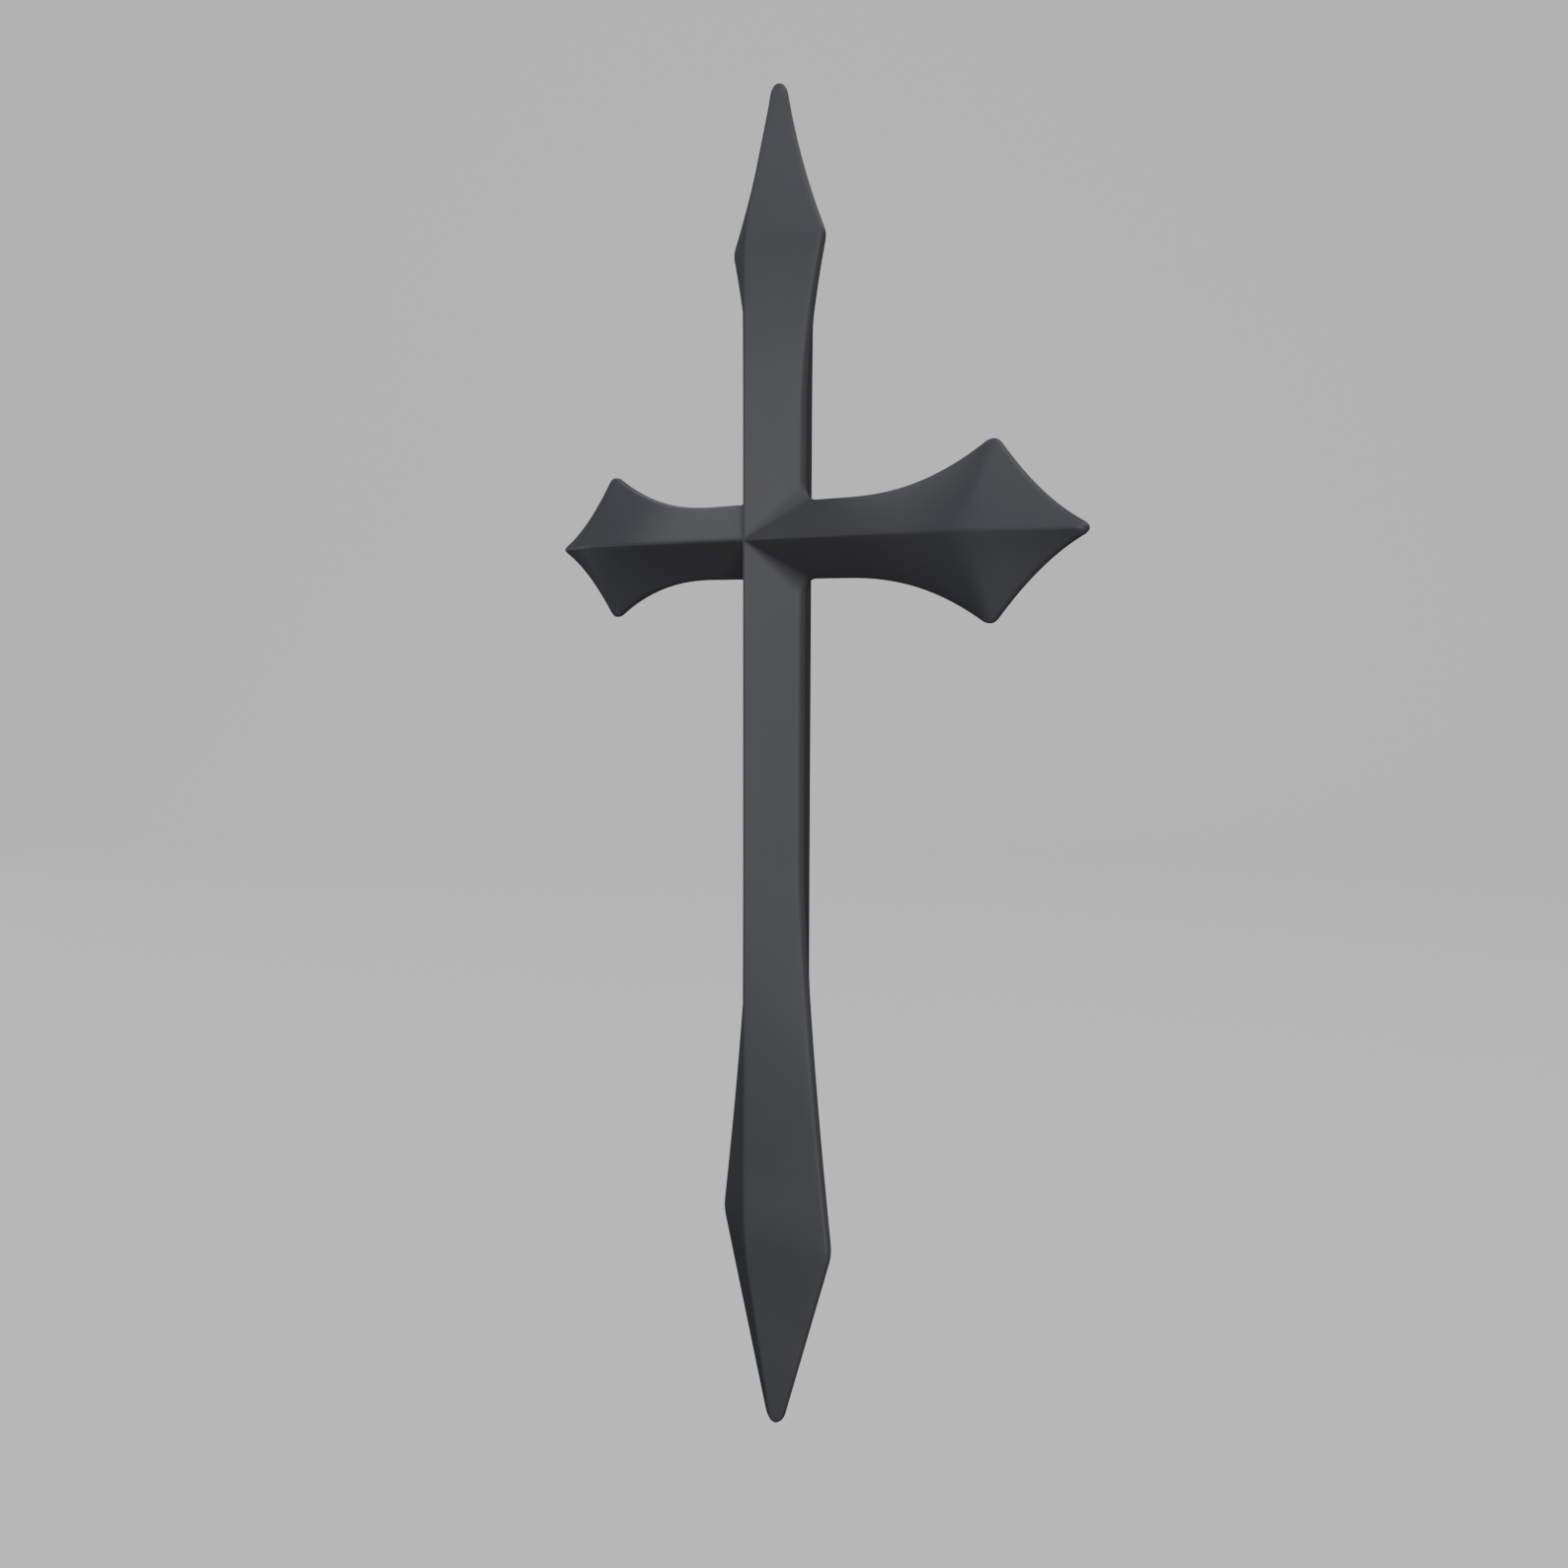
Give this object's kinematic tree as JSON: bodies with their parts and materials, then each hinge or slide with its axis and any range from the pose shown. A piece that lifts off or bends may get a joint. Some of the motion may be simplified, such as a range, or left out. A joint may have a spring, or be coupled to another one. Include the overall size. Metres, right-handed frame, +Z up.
{
  "type": "wrought iron cross",
  "caption": "Slender ridged iron cross with flared, pointed arms, dark satin finish, made to be hung or fixed at its back.",
  "frame": {"origin": "on the back ridge, behind the crossing of stem and bar, where the cross is held", "axes": "+Z up along the stem, +X along the bar to the viewer's right, front towards -Y"},
  "size_m": [0.2224, 0.027, 0.4034],
  "materials": {
    "dark_iron": "satin graphite black, smooth"
  },
  "bodies": {
    "root": {"cross": "dark_iron"}
  },
  "joints": []
}
